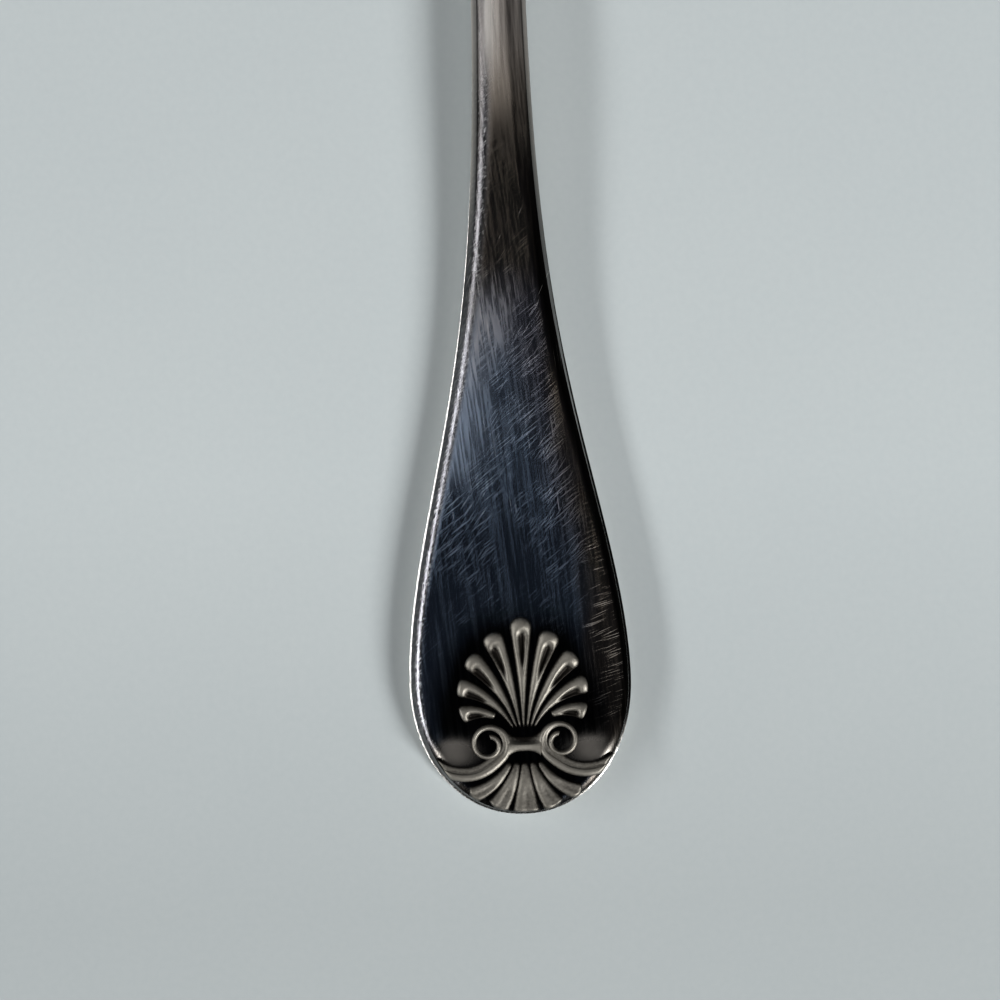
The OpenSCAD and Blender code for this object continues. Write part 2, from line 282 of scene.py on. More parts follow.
def make_piece(name, tree, sizes, slot, *nodes, crease=40):
    """Runs a tree once and keeps its result as a plain mesh that stands for the named nodes."""
    piece = bpy.data.objects.new(name, bpy.data.meshes.new(name))
    scene.collection.objects.link(piece)
    modifier = piece.modifiers.new(name, "NODES")
    modifier.node_group = tree
    for item in tree.interface.items_tree:
        if item.in_out == "INPUT":
            modifier[item.identifier] = float(sizes[item.name])
    ready = piece.evaluated_get(bpy.context.evaluated_depsgraph_get())
    mesh = bpy.data.meshes.new_from_object(ready)
    piece.modifiers.clear()
    piece.data = mesh
    mesh.shade_smooth()
    mesh.set_sharp_from_angle(angle=math.radians(crease))
    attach(piece, "root")
    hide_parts(*nodes)
    mesh.calc_loop_triangles()
    corners = [mesh.vertices[i].co for t in mesh.loop_triangles for i in t.vertices]
    volume = sum(a.cross(b).dot(c) for a, b, c in zip(*[iter(corners)] * 3)) / 6
    print(name, len(mesh.loop_triangles), "triangles", round(volume / MM**3, 2), "cubic mm")


print("ready to dress", len(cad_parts), "nodes")

# %% [markdown]
# ## The finishes
# Silver has almost no colour of its own: it shows what stands round it. Its surface makes it look old: fine
# lines from polishing, crossing scratches from the drawer, and black oxide in the hollows where no cloth
# reaches. Blue and brown tints on the handle are painted reflections, and some pale and black places on it
# are painted highlights and shade. The finishes are patterns on Object coordinates.

# %% Patterns shared by the finishes
# Black of the oxide in hollows, also used for painted shade.
BLACK_OXIDE_AND_SHADE = (0.016, 0.014, 0.012, 1)
BRIGHT_SILVER = (0.66, 0.64, 0.60, 1)
BLUE_REFLECTION = (0.29, 0.375, 0.51, 1)
PALE_BLUE_SHEEN = (0.44, 0.53, 0.68, 1)
PALE_GREY_SHEEN = (0.50, 0.49, 0.52, 1)
GREY_REFLECTION = (0.38, 0.38, 0.45, 1)
GREY_WEAR = (0.10, 0.10, 0.11, 1)
PALE_WEAR = (0.42, 0.42, 0.43, 1)
HAZE = (0.22, 0.205, 0.185, 1)
DARK_STREAK = (0.19, 0.17, 0.155, 1)
BROWN_REFLECTION = (0.34, 0.29, 0.24, 1)
BEIGE_SILVER = (0.64, 0.58, 0.53, 1)
DARK_RELIEF = (0.19, 0.177, 0.15, 1)
PALE_RELIEF = (0.32, 0.302, 0.268, 1)
GROOVE_DEPTH = 0.004 * MM
GRAIN_DEPTH = 0.02 * MM


def new_material(name):
    material = bpy.data.materials.new(name)
    material.use_nodes = True
    tree = material.node_tree
    surface = tree.nodes["Principled BSDF"]
    place = Wire.node(tree, "ShaderNodeTexCoord", output="Object").vector("SCALE", (0, 0, 0))
    place.socket.node.inputs["Scale"].default_value = 1 / MM
    return material, surface, place


def link(wire, surface, socket):
    wire.tree.links.new(wire.socket, surface.inputs[socket])


def set_metal(surface, colour, roughness, normal):
    link(colour, surface, "Base Color")
    link(roughness, surface, "Roughness")
    link(normal, surface, "Normal")
    surface.inputs["Metallic"].default_value = 1


def attribute(tree, name):
    """A number that a piece's rule has stored on its points."""
    return Wire.node(tree, "ShaderNodeAttribute", {"attribute_name": name}, output="Fac")


def bumpy(height, depth):
    """The normals of a surface with this height, from 0 to 1, over a depth."""
    return Wire.node(height.tree, "ShaderNodeBump", {}, {"Height": height, "Distance": depth})


def cloudy(place, stretch, detail=3):
    """Soft noise from 0 to 1, with the number of clouds per millimetre along each axis."""
    sockets = {"Vector": place.vector("MULTIPLY", stretch), "Scale": 1, "Detail": detail}
    return Wire.node(place.tree, "ShaderNodeTexNoise", {}, sockets)


def turned(place, lean):
    """The same places in axes that lean from the knife's axis, clockwise as seen from above."""
    sockets = {"Vector": place, "Angle": math.radians(lean)}
    return Wire.node(place.tree, "ShaderNodeVectorRotate", {"rotation_type": "Z_AXIS"}, sockets)


def scratches(place, lean, spacing, length, share, seed):
    """Thin straight lines of mixed strength, each in a cell of its own, of which a share is kept."""
    x, y, _ = turned(place, lean).parts()
    cell = point(x / spacing + seed, y / length + seed, x * 0)
    settings = {"voronoi_dimensions": "2D"}
    distance = Wire.node(place.tree, "ShaderNodeTexVoronoi", settings, {"Vector": cell, "Scale": 1})
    chance, strength, _ = Wire(distance.socket.node.outputs["Color"]).parts()
    return clamp(1.3 - distance / 0.3) * (chance < share) * (0.3 + 0.7 * strength)


def corner_haze(x, y):
    """Soft patches in the two corners over the scrolls' arms, at places in millimetres."""
    return bump_at(abs(x), 5.9, 2) * bump_at(y, -6.3, 1.25)


print("patterns ready")

# %% [markdown]
# ### Zones of the handle
# The handle's finish changes from place to place, so first its places get names. The handle's rule stores
# two numbers on each point. One is edge: 0 on the face, 1 at the end of the shoulder, 2 below the slanting
# side, 3 on the lip and 4 under it. The other is side, from -1 at the left rim to 1 at the right one. A
# zone is a share from 0 to 1, worked out from these and from the place in millimetres.

# %% Where a point lies on the handle


def handle_zones(place):
    """The place's own numbers, and its share in each zone."""
    at = SimpleNamespace(place=place)
    at.edge, at.side = attribute(place.tree, "edge"), attribute(place.tree, "side")
    at.x, at.y, _ = place.parts()
    at.shoulder = clamp(at.edge)
    at.lip = clamp(at.edge - 2)
    at.wall = clamp(2 * at.edge - 7)
    at.bevel = ease(at.shoulder / 0.6)
    at.left_edge = at.bevel * (1 - rising(at.side, -0.2, 0.3))
    at.right_edge = rising(at.side, 0.62, 0.87)
    at.stem_foot = rising(at.y, 34, 46)
    at.upper_stem = rising(at.y, 43, 48)
    # The top of the stem, where a painted beige highlight lies.
    at.pale_stem = rising(at.y, 47.5, 57.5)
    at.haze = corner_haze(at.x, at.y) * (1 - at.shoulder)
    at.blotches = cloudy(place, (0.3, 0.12, 0.3), detail=4)
    return at


print("zones ready")

# %% [markdown]
# ### Scratches of the handle
# Polishing leaves long lines along the knife. A drawer adds short ones that cross them, in patches, and
# near the right rim clusters that run almost straight across. Short rubs wear the left edge, and a few
# bright nicks lie at the foot of the stem. Leans are in degrees from the knife's axis, and the spacings of
# the lines in millimetres.

# %% Lines from polishing and from the drawer
BRUSHED = -6
CROSSING = 52
STEEP = 34
ACROSS = 74
ACROSS_TOO = 67
WORN = 48
NICKED = 24
HAIRLINE = 0.04
RIM_LINE = 0.045
RUB_LINE = 0.06


def handle_scratches(at):
    """Strength of the lines on the face, near the right rim and on the left edge, and of the nicks."""
    patches = rising(cloudy(at.place, (0.22, 0.22, 0.22)), 0.36, 0.56) * (1 - at.right_edge)
    long_lines = scratches(at.place, BRUSHED, HAIRLINE, length=6, share=0.16, seed=1.3)
    cross_lines = scratches(at.place, CROSSING, HAIRLINE, length=3.2, share=0.24, seed=8.1) * patches
    steep_lines = scratches(at.place, STEEP, HAIRLINE, length=2.6, share=0.16, seed=15.9) * patches
    face = long_lines.math("MAXIMUM", cross_lines).math("MAXIMUM", steep_lines)
    face = face * between(0.35, 0.9, rising(at.y, 7, 17)) * (1 - 0.75 * rising(at.y, 34, 40))
    clusters = cloudy(at.place, (0.2, 0.7, 0.2), detail=2)
    fringe = rising(at.side + 0.7 * (clusters - 0.5), 0.62, 0.82) * bump_at(at.y, 4, 9)
    fringe = fringe * (1 - rising(at.edge, 0.3, 0.65))
    rim = scratches(at.place, ACROSS, RIM_LINE, length=3.4, share=0.22, seed=31.3)
    rim_too = scratches(at.place, ACROSS_TOO, RIM_LINE, length=2.8, share=0.16, seed=37.7)
    rim = rim.math("MAXIMUM", rim_too) * fringe
    worn = scratches(at.place, WORN, RUB_LINE, length=0.7, share=0.75, seed=41.9)
    nicks = scratches(at.place, NICKED, RIM_LINE, length=2, share=0.016, seed=23.7) * bump_at(at.y, 37, 7)
    return SimpleNamespace(face=face.math("MAXIMUM", rim), rim=rim, worn=worn, nicks=nicks)


print("leans", BRUSHED, CROSSING, STEEP, ACROSS, ACROSS_TOO, WORN, NICKED, "degrees")

# %% [markdown]
# ### Polish of the handle
# A polished face mirrors the dark room above it. Where cloths have rubbed it satin it spreads the lamps'
# light and looks paler. The rubbed patch lies on the left of the flare, with fine brushed lines in it.

# %% Brushed and rubbed places


def handle_polish(at):
    """Shares of brushed, finely brushed, streaked, rubbed and satin plate."""
    brush = rising(cloudy(turned(at.place, BRUSHED), (5, 0.16, 5), detail=2), 0.42, 0.62)
    brush = brush * (1 - ease(2 * at.haze))
    fine = cloudy(turned(at.place, 1), (12, 0.3, 12), detail=2)
    streaks = rising(cloudy(at.place, (3, 0.035, 3), detail=3), 0.36, 0.62)
    rubbed = ease((0.3 * at.y - 7.8 - at.x + 2 * (at.blotches - 0.5)) / 4)
    rubbed = rubbed * rising(at.y, 15, 20) * (1 - rising(at.y, 31, 37))
    rubbed = rubbed * (1 - at.left_edge) * (0.7 + 0.7 * brush)
    satin = rising(at.y, 12, 20) * (1 - rising(at.y, 30, 36)) * (1 - rising(at.side, -0.2, 0.9))
    satin = 0.34 * satin + rubbed
    return SimpleNamespace(brush=brush, fine=fine, streaks=streaks, rubbed=rubbed, satin=satin)


print("polish ready")

# %% [markdown]
# ### Painted reflections of the handle
# The face is painted blue on the left and brown on the right and towards the stem, as reflections of the
# room, and a rubbed patch gets a pale blue to grey painted sheen. The top of the stem is beige with dark
# streaks: the streaks are the plate's own, and its beige, paler on the left, is a painted highlight.

# %% Blue, brown and beige


def reflection_tints(at, polish):
    # Painted reflections: the face is tinted blue on the left and brown on the right and towards the stem.
    border = at.x - 0.3 * (31 - at.y) + 3 * (at.blotches - 0.5)
    blue = ease((2 - border) / 5)
    brown = rising(at.side + 0.5 * (at.blotches - 0.5), 0.45, 0.85)
    brown = brown.math("MAXIMUM", rising(at.y + 4 * (at.blotches - 0.5), 31, 37))
    colour = brown.tint(blue.tint(GREY_REFLECTION, BLUE_REFLECTION), BROWN_REFLECTION)
    # Painted sheen: the rubbed patch is tinted pale blue, greyer towards the stem, over its real satin.
    colour = (0.7 * polish.rubbed).tint(colour, rising(at.y, 22, 31).tint(PALE_BLUE_SHEEN, PALE_GREY_SHEEN))
    # Painted highlight: the stem's top is beige, paler on the left, over its own dark streaks.
    beige_sheen = (polish.streaks * (1 - 0.85 * rising(at.side, -0.4, 0.4))).tint(DARK_STREAK, BEIGE_SILVER)
    return at.pale_stem.tint(colour, beige_sheen)


print("tarnish ready")

# %% [markdown]
# ### Edges of the handle
# Hands and cloths wear the left edge bright, with grey rubs in it. The right shoulder is painted black as
# shade, and painted shade dims the left bevel up the stem. On the stem a painted highlight pales the left
# of its top, a band of painted shade darkens its foot, painted reflection pales its slanting sides, and a
# thin line of painted shade parts its face from them.

# %% Worn and black edges


def edge_shades(colour, at, lines):
    """The face's colour with the edges laid over it."""
    colour = (at.left_edge * (1 - 0.3 * at.pale_stem)).tint(colour, lines.worn.tint(GREY_WEAR, PALE_WEAR))
    # Painted shade: the right shoulder is blackened, as where it mirrors the dark room.
    right_shade = ease((at.side - between(0.3, 0.05, at.stem_foot)) / between(0.3, 0.7, at.stem_foot))
    right_shade = right_shade * ease(at.shoulder / between(0.6, 1.3, at.stem_foot))
    colour = (0.93 * right_shade * (1 - 0.9 * at.pale_stem)).tint(colour, BLACK_OXIDE_AND_SHADE)
    # Painted shade dims the left bevel from the top of the flare up the stem, where the left lamp shines.
    outer = at.left_edge * between(1, rising(at.shoulder, 0.45, 0.75), at.upper_stem) * rising(at.y, 28, 33)
    colour = (outer * between(0.6, 0.8, at.upper_stem) * (1 - 0.4 * at.pale_stem)).tint(colour, BLACK_OXIDE_AND_SHADE)
    # Painted highlight: a bright silver band on the left of the stem's top.
    pale = bump_at(at.side, -0.45, 0.35) * rising(at.y, 51, 57) * (1 - rising(at.shoulder, 0.4, 0.7))
    # Painted shade: a dark band across the foot of the stem's pale top.
    painted_shade_band = bump_at(at.y, 47.3, 4.5) * (1 - at.left_edge) * (1 - rising(at.side, 0.3, 0.7))
    colour = (0.75 * painted_shade_band).tint((0.6 * pale).tint(colour, BRIGHT_SILVER), BLACK_OXIDE_AND_SHADE)
    # Painted reflection: the stem's slanting sides are paled with beige, more on the left.
    slant = clamp(at.edge - 1) * between(0.35, 0.7, 1 - rising(at.side, -0.2, 0.2))
    colour = (slant * at.stem_foot).tint(colour, BEIGE_SILVER)
    # Painted shade: a thin dark line where the stem's shoulder meets its slanting side.
    return (0.8 * rising(at.y, 38, 44) * bump_at(at.edge, 1, 0.08)).tint(colour, BLACK_OXIDE_AND_SHADE)


print("edges ready")

# %% [markdown]
# ### Worn plate
# Now the parts come together. Bright scratches lie over the painted reflections, black oxide fills the
# ground of the ornament, painted shade darkens the rim below it and the bevel at two corners of the end,
# and two corners have a grey haze. The lip and the wall under it are bright, except the right lip, which is
# painted dark as shade. Satin and scratches raise the roughness, and a shallow bump gives their grooves.

# %% Worn silver plate


def oxide_and_rim_shade(at):
    """Shares of the oxide round the ornament, and of the painted shade on the rim below it."""
    from_middle = root((at.x / 7.6) * (at.x / 7.6) + ((at.y + 3.4) / 9.2) * ((at.y + 3.4) / 9.2))
    oxide_and_shade = 1 - rising(from_middle + 0.3 * (at.blotches - 0.5), 0.82, 1.22)
    # Painted shade darkens the bevel of the rim below the ornament, reaching higher on the right.
    rim_shade = at.bevel * ease((-3 - 5 * (1 - rising(at.side, -0.7, -0.2)) - at.y) / 2)
    return oxide_and_shade.math("MAXIMUM", rim_shade), rim_shade


def worn_plate(name):
    material, surface, place = new_material(name)
    at = handle_zones(place)
    lines, polish = handle_scratches(at), handle_polish(at)
    oxide_and_shade, rim_shade = oxide_and_rim_shade(at)
    colour = edge_shades(reflection_tints(at, polish), at, lines)
    colour = clamp(0.25 * lines.face + 0.3 * lines.rim + lines.nicks).tint(colour, BRIGHT_SILVER)
    colour = (0.97 * oxide_and_shade).tint(colour, BLACK_OXIDE_AND_SHADE)
    # Painted shade blackens the bevel at two lower corners of the end, over the lamps' reflection there.
    corners = at.bevel * bump_at(at.y, -7, 2.5) * rising(abs(at.side), 0.5, 0.7)
    colour = (0.9 * corners).tint(colour, BLACK_OXIDE_AND_SHADE)
    colour = (0.95 * ease(2 * at.haze)).tint(colour, HAZE)
    # Painted shade keeps the right lip dark, as where it mirrors the dark room.
    shaded_right_lip = rising(at.side, 0.5, 0.7) * rising(at.y, -4, -1)
    bright = (at.lip * (1 - 0.95 * shaded_right_lip)).math("MAXIMUM", at.wall)
    colour = bright.tint(colour, BRIGHT_SILVER)
    roughness = 0.14 + 0.16 * polish.satin + 0.07 * (polish.brush - 0.5) + 0.08 * (polish.fine - 0.5)
    roughness += 0.33 * at.haze + at.pale_stem * (0.14 + 0.1 * polish.streaks)
    roughness += 0.16 * at.upper_stem * ease(at.side / 0.6)
    roughness += at.left_edge * (0.05 + 0.16 * lines.worn)
    roughness += 0.14 * lines.face * (1 - 0.5 * oxide_and_shade)
    roughness += 0.2 * lines.rim + 0.35 * lines.nicks + 0.1 * rim_shade
    roughness = clamp(between(roughness, 0.12, at.wall))
    height = 0.5 * polish.brush + 0.3 * polish.fine - lines.face - lines.nicks - at.left_edge * lines.worn
    set_metal(surface, colour, roughness, bumpy(height, GROOVE_DEPTH))
    return material


handle_plate = worn_plate("handle_plate")
print("plate", handle_plate.name)

# %% [markdown]
# ### Blade plate
# The blade is buffed more often and has no ornament, so it stays a paler satin, brushed along its length.

# %% Satin blade
BLADE_BRUSHED = -8
BLADE_CROSSING = 65
BLADE_HAIRLINE = 0.08


def satin_plate(name):
    material, surface, place = new_material(name)
    brush = cloudy(place, (8, 0.12, 8), detail=4)
    along = scratches(place, BLADE_BRUSHED, BLADE_HAIRLINE, length=5, share=0.12, seed=3.1)
    crossing = scratches(place, BLADE_CROSSING, BLADE_HAIRLINE, length=3, share=0.05, seed=9.7)
    lines = along.math("MAXIMUM", crossing)
    blotches = cloudy(place, (0.12, 0.08, 0.12), detail=4)
    colour = blotches.tint(BEIGE_SILVER, BRIGHT_SILVER)
    roughness = 0.24 + 0.12 * brush + 0.08 * blotches + 0.2 * lines
    set_metal(surface, colour, roughness, bumpy(0.5 * brush - lines, GROOVE_DEPTH))
    return material


blade_plate = satin_plate("blade_plate")
print("plate", blade_plate.name)

# %% [markdown]
# ### Struck relief
# Polishing touches only the tops of the ornament. The rule of each piece stores how high a point stands, as
# the attribute relief, so the oxide can fade out from the ground up to the rubbed tops.

# %% Silver with oxide in its hollows


def struck_relief(name):
    material, surface, place = new_material(name)
    relief = attribute(place.tree, "relief")
    grain = cloudy(place, (5, 5, 5), detail=4)
    rubbed = rising(relief + 0.3 * (grain - 0.5), 0.28, 0.78)
    warm = cloudy(place, (0.8, 0.8, 0.8)).tint(DARK_RELIEF, PALE_RELIEF)
    roughness = 0.56 + 0.14 * (grain - 0.5)
    set_metal(surface, rubbed.tint(BLACK_OXIDE_AND_SHADE, warm), roughness, bumpy(grain, GRAIN_DEPTH))
    return material


relief_plate = struck_relief("relief_plate")
print("relief", relief_plate.name)

# %% [markdown]
# ## The handle
# The blank is a long leaf: a full, rounded end, a flare that falls away like a bell curve, a narrow arched
# stem and a tongue that laps over the blade. One formula for half the outline is shorter than a loft. Its
# ends and its width come from the boxes of the packed solids.

# %% Sizes of the handle
handle_low, handle_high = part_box("handle")
blade_low, blade_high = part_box("blade")
STEM_REACH = 92 * MM
LAND_END = 13.55 * MM
BLADE_THICKNESS = 1.8 * MM
TANG_LENGTH = STEM_REACH - blade_low.y
TANG_WIDTH = 3 * MM
TANG_THICKNESS = 1.1 * MM
TANG_ROOM = 0.05 * MM
RIVET_ROOM = 0.02 * MM
END_THICKNESS = 2.3 * MM
STEM_THICKNESS = 2.6 * MM
NECK_HALF = 2.8 * MM
handle_sizes = dict(
    end_half=handle_high.x, end_round=-handle_low.y, flare=26.9 * MM,
    stem_half=2.25 * MM, neck_half=NECK_HALF, neck_length=20 * MM, stem_reach=STEM_REACH,
    tongue_start=handle_high.y - NECK_HALF, end_thickness=END_THICKNESS, stem_thickness=STEM_THICKNESS,
    land_end=LAND_END, lap_start=blade_low.y, arch_height=1.4 * MM, arch_lean=1.4,
    shoulder_width=0.9 * MM, stem_shoulder=1.55 * MM, shoulder_fall=0.42, slant=0.36 * MM,
    stem_slant=0.5 * MM, lip=0.14 * MM, lower_round=0.4 * MM, swelling=0.15 * MM)
print("half width", round(handle_high.x / MM, 2), "mm, round end", round(-handle_low.y / MM, 2), "mm")

# %% [markdown]
# ### Outline of the handle
# Half the outline is a path round the end, along the side and round the tongue. The end is fuller than an
# ellipse, because its power is a little more than 2. Two points, a small step before and after, give the
# path's direction. At both ends it crosses the knife's axis squarely, so the halves meet in one line and
# can be welded.

# %% Outline of the handle
END_FULLNESS = 2.1
FLARE_POWER = 1.8
LAST_STATION = 3
SLOPE_STEP = 0.004


def outline(s, station):
    """A place on the right half of the outline, and the half width there.

    Stations 0 to 1 go round the end, 1 to 2 along the side and 2 to 3 round the tongue."""
    end_turn = clamp(station) * QUARTER
    tongue_turn = clamp(station - 2) * QUARTER
    y = clamp(station - 1) * s.tongue_start
    flare = exp(-((y / s.flare) ** FLARE_POWER))
    neck = ease((y - s.stem_reach + s.neck_length) / s.neck_length)
    half = s.stem_half + (s.end_half - s.stem_half) * flare + (s.neck_half - s.stem_half) * neck
    across, down = (clamp(part(end_turn)) ** (2 / END_FULLNESS) for part in (sin, cos))
    return half * across * cos(tongue_turn), y - s.end_round * down + s.neck_half * sin(tongue_turn), half


def run_of(path, s, share):
    """How far a path goes in both directions from a step before a point to a step after it."""
    before, after = path(s, share - SLOPE_STEP), path(s, share + SLOPE_STEP)
    return after[0] - before[0], after[1] - before[1]


def outline_run(s, station):
    """The outline's run at a station, squared to the knife's axis at both ends, and its length."""
    run_x, run_y = run_of(outline, s, station)
    squared = clamp(station / SLOPE_STEP) * clamp((LAST_STATION - station) / SLOPE_STEP)
    run_y = squared * run_y
    return run_x, run_y, root(run_x * run_x + run_y * run_y)


print("power of the end", END_FULLNESS, "and of the flare", FLARE_POWER)

# %% [markdown]
# ### Section of the handle
# Round each point of the outline runs the same section: flat top, soft shoulder, slanting side, the thin
# lip that the dies leave, and a small lower round. On the narrow stem the shoulders almost meet, so it is
# domed. The sides were trimmed by hand, and the left one slants more. The face swells a little in two
# corners over the scrolls' arms. The rule stores edge and side for the finish.

# %% Section of the handle
ROWS = 321
END_SHARE = 0.2
TONGUE_SHARE = 0.93
COLUMNS = 60
CORNERS = (24, 39, 42, 44, 46, 52)
FACE_SHARE, SHOULDER_SHARE, SLANT_SHARE, LIP_SHARE, SIDE_SHARE, LOWER_SHARE = (c / COLUMNS for c in CORNERS)
SLANT_REACH = 0.55
RIGHT_SLANT = 0.35
STEM_RIGHT_SLANT = 0.75
LIP_FALL = 0.7


def section_shares(turn):
    """How far a point has come over the shoulder, slant, lip and wall, and its angle on the lower round."""
    ends = (FACE_SHARE, SHOULDER_SHARE, SLANT_SHARE, LIP_SHARE, SIDE_SHARE)
    shares = [share_of(turn, start, end) for start, end in zip(ends, ends[1:])]
    return *shares, share_of(turn, SIDE_SHARE, LOWER_SHARE) * QUARTER


def handle_tree():
    tree, s = start_tree("handle", handle_sizes)
    sheet, across, along, _ = sheets(tree, 2 * COLUMNS + 1, ROWS)
    station = (share_of(along, 0, END_SHARE) + share_of(along, END_SHARE, TONGUE_SHARE)
               + share_of(along, TONGUE_SHARE, 1))
    x, y, half = outline(s, station)
    run_x, run_y, run = outline_run(s, station)
    turn = abs(2 * across - 1)
    shoulder, slant, lip, wall, lower = section_shares(turn)
    to_stem = rising(y / s.tongue_start, 0.12, 0.47)
    hand = (2 * across - 1).math("SIGN")
    left = ease(-hand * x / half)
    end_slant = s.slant * between(RIGHT_SLANT, 1, left)
    trimmed = between(end_slant, s.stem_slant * between(STEM_RIGHT_SLANT, 1, left), to_stem)
    shoulder_width = between(s.shoulder_width, s.stem_shoulder, to_stem)
    lip_width = s.lip * (1 - to_stem)
    inset = (shoulder_width * (1 - shoulder) + trimmed * (1 - slant) + lip_width * (1 - lip)
             + s.lower_round * (1 - cos(lower)))
    x = x - inset * run_y / run
    y = y + inset * run_x / run
    reach = share_of(turn, 0, FACE_SHARE) * (1 - share_of(turn, LOWER_SHARE, 1))
    arch = share_of(y, s.land_end, s.lap_start)
    swell = sin(math.pi * arch ** s.arch_lean)
    thickness = s.end_thickness + (s.stem_thickness - s.end_thickness) * ease(2 * arch)
    drop = s.shoulder_fall * shoulder_width
    straight = thickness - drop - s.lower_round
    slant_drop, lip_drop = SLANT_REACH * straight, LIP_FALL * lip_width
    depth = (drop * shoulder * shoulder + slant_drop * slant + lip_drop * lip
             + (straight - slant_drop - lip_drop) * wall + s.lower_round * sin(lower))
    z = s.arch_height * swell * swell + thickness - depth
    x = x * reach * hand
    z = z + s.swelling * corner_haze(x / MM, y / MM) * (1 - shoulder)
    sheet = store(store(sheet, "edge", shoulder + slant + lip + wall), "side", x / half)
    blank = moved(sheet, point(x, y, z))
    return finish_tree(cut_for_joint(blank), handle_plate)


print("sheet", 2 * COLUMNS + 1, "by", ROWS, "points")

# %% [markdown]
# ### The joint under the stem
# The tang lies in a groove, the tongue sits on the blade's face, and two rivets go through both. Booleans
# cut these places out of the finished blank, as a mill and a drill would. They go wrong where two faces
# share a plane or two edges a line. So the tang keeps a little off the plane under the blade, and the rods
# are turned a little off the knife's middle line.

# %% Cuts for the tang, the blade and the rivets
CUT_PAST = 1 * MM
OFF_PLANE = 0.01 * MM
OFF_LINE = math.radians(3)
ROD_SIDES = 48
ROD_LENGTH = 4 * STEM_THICKNESS
SEAT_WIDTH = 8 * NECK_HALF
RIVET_RADIUS = 0.8 * MM
RIVET_PLACES = (STEM_REACH - TANG_LENGTH / 2, STEM_REACH + (handle_high.y - STEM_REACH) / 2)


def block(tree, size, centre):
    cube = Wire.node(tree, "GeometryNodeMeshCube", {}, {"Size": size})
    return Wire.node(tree, "GeometryNodeTransform", {}, {"Geometry": cube, "Translation": centre})


def rods(tree, radius):
    """Upright rods through the joint, one on each rivet's place."""
    start, end = RIVET_PLACES
    spots = {"Count": len(RIVET_PLACES), "Start Location": (0, start, 0), "Offset": (0, end - start, 0)}
    line = Wire.node(tree, "GeometryNodeMeshLine", {}, spots)
    size = {"Vertices": ROD_SIDES, "Radius": radius, "Depth": ROD_LENGTH}
    rod = Wire.node(tree, "GeometryNodeMeshCylinder", {}, size)
    stand = {"Points": line, "Instance": rod, "Rotation": (0, 0, OFF_LINE)}
    both = Wire.node(tree, "GeometryNodeInstanceOnPoints", {}, stand)
    return Wire.node(tree, "GeometryNodeRealizeInstances", {}, {"Geometry": both})


def without(geometry, *cutters):
    choices = {"operation": "DIFFERENCE", "solver": "MANIFOLD"}
    cut = Wire.node(geometry.tree, "GeometryNodeMeshBoolean", choices, {"Mesh 1": geometry})
    for cutter in cutters:
        geometry.tree.links.new(cutter.socket, cut.socket.node.inputs["Mesh 2"])
    return cut


def cut_for_joint(blank):
    tree = blank.tree
    tongue = handle_high.y - STEM_REACH + CUT_PAST
    seat = block(tree, (SEAT_WIDTH, tongue, 2 * BLADE_THICKNESS), (0, STEM_REACH + tongue / 2, 0))
    groove_length = TANG_LENGTH + TANG_ROOM + CUT_PAST
    groove = block(tree, (TANG_WIDTH + 2 * TANG_ROOM, groove_length, 2 * TANG_THICKNESS),
                   (0, blade_low.y - TANG_ROOM + groove_length / 2, 0))
    return without(blank, seat, groove, rods(tree, RIVET_RADIUS + RIVET_ROOM))


make_piece("handle_struck", handle_tree(), handle_sizes, "handle_plate", "handle", crease=25)

# %% [markdown]
# ## The blade
# A master butter knife has a broad blade with a blunt edge, a belly that sweeps up to a high tip and a
# slightly hollow spine. Two formulas give the edge and the spine along the blade, and a third gives the
# thickness between them, thin at the edge and round at the spine. The first row of its sheet shrinks to one
# point and so closes the heel. The tang is a plain bar in one piece with it.

# %% Rule of the blade
blade_sizes = dict(
    length=blade_high.y - STEM_REACH, neck_half=NECK_HALF, edge_reach=14 * MM, spine_reach=5.6 * MM,
    tip_reach=6 * MM, spine_hollow=1.2 * MM, heel_length=12 * MM, thickness=BLADE_THICKNESS,
    tip_thickness=1.1 * MM, edge_thickness=0.5 * MM, bevel=6.5 * MM, spine_round=0.45 * MM,
    tongue=handle_high.y - STEM_REACH)
BELLY_POWER = 3.4
GRIND_POWER = 1.5
TIP_CROWDING = 2
BLADE_COLUMNS = 129
BLADE_ROWS = 161
FIRST_ROW = 1 / (BLADE_ROWS - 1)


